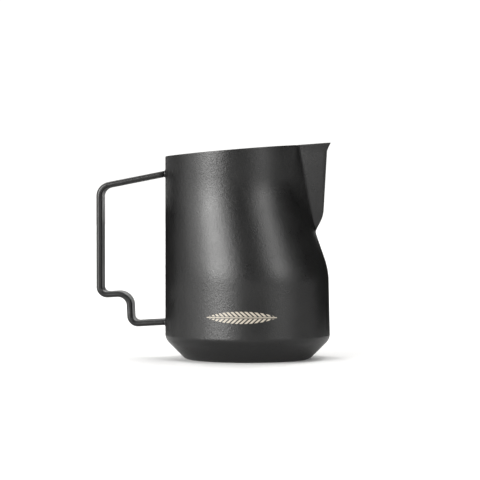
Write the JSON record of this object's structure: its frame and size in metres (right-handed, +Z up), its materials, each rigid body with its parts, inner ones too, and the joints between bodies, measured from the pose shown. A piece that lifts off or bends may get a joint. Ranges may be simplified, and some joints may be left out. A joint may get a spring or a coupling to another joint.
{
  "type": "milk frothing pitcher",
  "caption": "Steel milk frothing pitcher with a waisted front, a pressed pouring spout, a slanted rim, a chamfered foot and a cranked flat strap handle.",
  "frame": {"origin": "centre of the flat base, on the surface that the pitcher stands on", "axes": "+Z up along the axis of the lower wall, +X towards the spout, -X towards the handle, Y across the spout"},
  "size_m": [0.1194, 0.084, 0.1102],
  "materials": {
    "cup_coating": "satin charcoal coating with a fine grain on sheet steel; bare brushed steel inside",
    "handle_coating": "satin charcoal coating on steel strap",
    "weld_coating": "satin charcoal coating over a dressed weld bead"
  },
  "bodies": {
    "root": {"body_shell": "cup_coating", "handle_strap": "handle_coating", "upper_handle_weld": "weld_coating", "lower_handle_weld": "weld_coating"}
  },
  "joints": []
}
